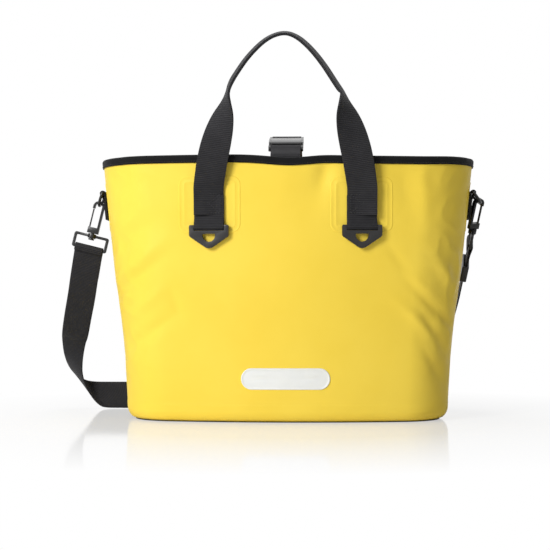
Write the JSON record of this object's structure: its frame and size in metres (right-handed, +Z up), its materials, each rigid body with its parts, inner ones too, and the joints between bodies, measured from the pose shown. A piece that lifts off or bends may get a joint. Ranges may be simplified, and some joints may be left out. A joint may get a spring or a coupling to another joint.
{
  "type": "tail bag",
  "caption": "Oval coated-fabric tail bag with grab handles, tie-down rings, buckled closure strap and clip-on shoulder strap.",
  "frame": {"origin": "centre of the underside of the base, on the surface the bag stands on", "axes": "+Z up, the front faces -Y, +X to the right of someone facing the front"},
  "size_m": [0.5891, 0.3074, 0.4926],
  "materials": {
    "tarpaulin_yellow": "satin coated fabric",
    "tarpaulin_black": "satin coated fabric",
    "webbing_black": "ribbed woven webbing",
    "plastic_black": "satin moulded plastic",
    "metal_black": "satin black plated metal",
    "board": "plain stiffener board",
    "label_white": "soft moulded patch"
  },
  "bodies": {
    "root": {"back_closure_strap": "webbing_black", "back_left_anchor": "webbing_black", "back_left_patch": "tarpaulin_yellow", "back_panel": "tarpaulin_yellow", "back_right_anchor": "webbing_black", "back_right_patch": "tarpaulin_yellow", "base_board": "board", "base_panel": "tarpaulin_black", "buckle_socket": "plastic_black", "front_closure_strap": "webbing_black", "front_left_anchor": "webbing_black", "front_left_patch": "tarpaulin_yellow", "front_panel": "tarpaulin_yellow", "front_right_anchor": "webbing_black", "front_right_patch": "tarpaulin_yellow", "label_patch": "label_white", "left_end_patch": "tarpaulin_yellow", "left_strap_loop": "metal_black", "left_tab": "webbing_black", "right_end_patch": "tarpaulin_yellow", "right_strap_loop": "metal_black", "right_tab": "webbing_black", "rim_binding": "webbing_black", "shoulder_strap_left": "webbing_black", "shoulder_strap_right": "webbing_black"},
    "front_handle": {"front_handle": "webbing_black"},
    "back_handle": {"back_handle": "webbing_black"},
    "plug": {"buckle_plug": "plastic_black"},
    "plug_left_lever": {"buckle_left_lever": "plastic_black"},
    "plug_right_lever": {"buckle_right_lever": "plastic_black"},
    "slider": {"strap_slider": "plastic_black"},
    "front_left_ring": {"front_left_ring": "plastic_black"},
    "front_right_ring": {"front_right_ring": "plastic_black"},
    "back_left_ring": {"back_left_ring": "plastic_black"},
    "back_right_ring": {"back_right_ring": "plastic_black"},
    "left_dring": {"left_dring": "metal_black"},
    "left_hook": {"left_snap_hook": "metal_black"},
    "left_gate": {"left_gate": "metal_black"},
    "right_dring": {"right_dring": "metal_black"},
    "right_hook": {"right_snap_hook": "metal_black"},
    "right_gate": {"right_gate": "metal_black"}
  },
  "joints": [
    {"name": "front_handle_swing", "type": "hinge", "parent": "root", "child": "front_handle", "pos_m": [0, -0.10038, 0.29106], "axis": [1, 0, 0], "range_deg": [0, 125]},
    {"name": "back_handle_swing", "type": "hinge", "parent": "root", "child": "back_handle", "pos_m": [0, 0.10038, 0.29106], "axis": [1, 0, 0], "range_deg": [0, 150]},
    {"name": "front_left_ring_swing", "type": "hinge", "parent": "root", "child": "front_left_ring", "pos_m": [-0.09651, -0.09597, 0.24827], "axis": [-0.9946, 0.104, 0], "range_deg": [0, 80]},
    {"name": "front_right_ring_swing", "type": "hinge", "parent": "root", "child": "front_right_ring", "pos_m": [0.09651, -0.09597, 0.24827], "axis": [-0.9946, -0.104, 0], "range_deg": [0, 80]},
    {"name": "back_left_ring_swing", "type": "hinge", "parent": "root", "child": "back_left_ring", "pos_m": [-0.09651, 0.09597, 0.24827], "axis": [0.9946, 0.104, 0], "range_deg": [0, 25]},
    {"name": "back_right_ring_swing", "type": "hinge", "parent": "root", "child": "back_right_ring", "pos_m": [0.09651, 0.09597, 0.24827], "axis": [0.9946, -0.104, 0], "range_deg": [0, 25]},
    {"name": "left_dring_swing", "type": "hinge", "parent": "root", "child": "left_dring", "pos_m": [-0.24447, 0, 0.29704], "axis": [0, 1, 0], "range_deg": [-3, 2]},
    {"name": "right_dring_swing", "type": "hinge", "parent": "root", "child": "right_dring", "pos_m": [0.24447, 0, 0.29704], "axis": [0, -1, 0], "range_deg": [-2, 2]},
    {"name": "left_hook_swivel", "type": "hinge", "parent": "root", "child": "left_hook", "pos_m": [-0.25065, 0, 0.28174], "axis": [-0.2399, 0, -0.9708], "range_deg": [-8, 8]},
    {"name": "right_hook_swivel", "type": "hinge", "parent": "root", "child": "right_hook", "pos_m": [0.25339, 0.0075, 0.28562], "axis": [-0.15, 0.4301, -0.8902], "range_deg": [-6, 8]},
    {"name": "left_gate_press", "type": "hinge", "parent": "left_hook", "child": "left_gate", "pos_m": [-0.26406, 0, 0.2525], "axis": [0, 1, 0], "range_deg": [0, 15], "stiffness_Nm_per_rad": 0.02, "springref_deg": -17.19},
    {"name": "right_gate_press", "type": "hinge", "parent": "right_hook", "child": "right_gate", "pos_m": [0.2539, 0.02395, 0.25798], "axis": [0.4592, -0.7671, -0.448], "range_deg": [0, 15], "stiffness_Nm_per_rad": 0.02, "springref_deg": -17.19},
    {"name": "plug_slide", "type": "slide", "parent": "root", "child": "plug", "axis": [0, 0.9563, 0.2924], "range_m": [0, 0.034], "deforming": ["back_closure_strap"]},
    {"name": "plug_left_lever_squeeze", "type": "hinge", "parent": "plug", "child": "plug_left_lever", "pos_m": [-0.0155, -0.04023, 0.36005], "axis": [0, 0.2924, -0.9563], "range_deg": [-16.1, 0.1]},
    {"name": "plug_right_lever_squeeze", "type": "hinge", "parent": "plug", "child": "plug_right_lever", "pos_m": [0.0155, -0.04023, 0.36005], "axis": [0, -0.2924, 0.9563], "range_deg": [-16.1, 0.1]},
    {"name": "slider_slide", "type": "slide", "parent": "root", "child": "slider", "axis": [-0.15, 0.4301, -0.8902], "range_m": [-0.01, 0.02]}
  ],
  "couplings": [
    {"joint": "plug_left_lever_squeeze", "follows": "plug_slide", "rad_per_m": -8.2132},
    {"joint": "plug_right_lever_squeeze", "follows": "plug_slide", "rad_per_m": -8.2132}
  ]
}
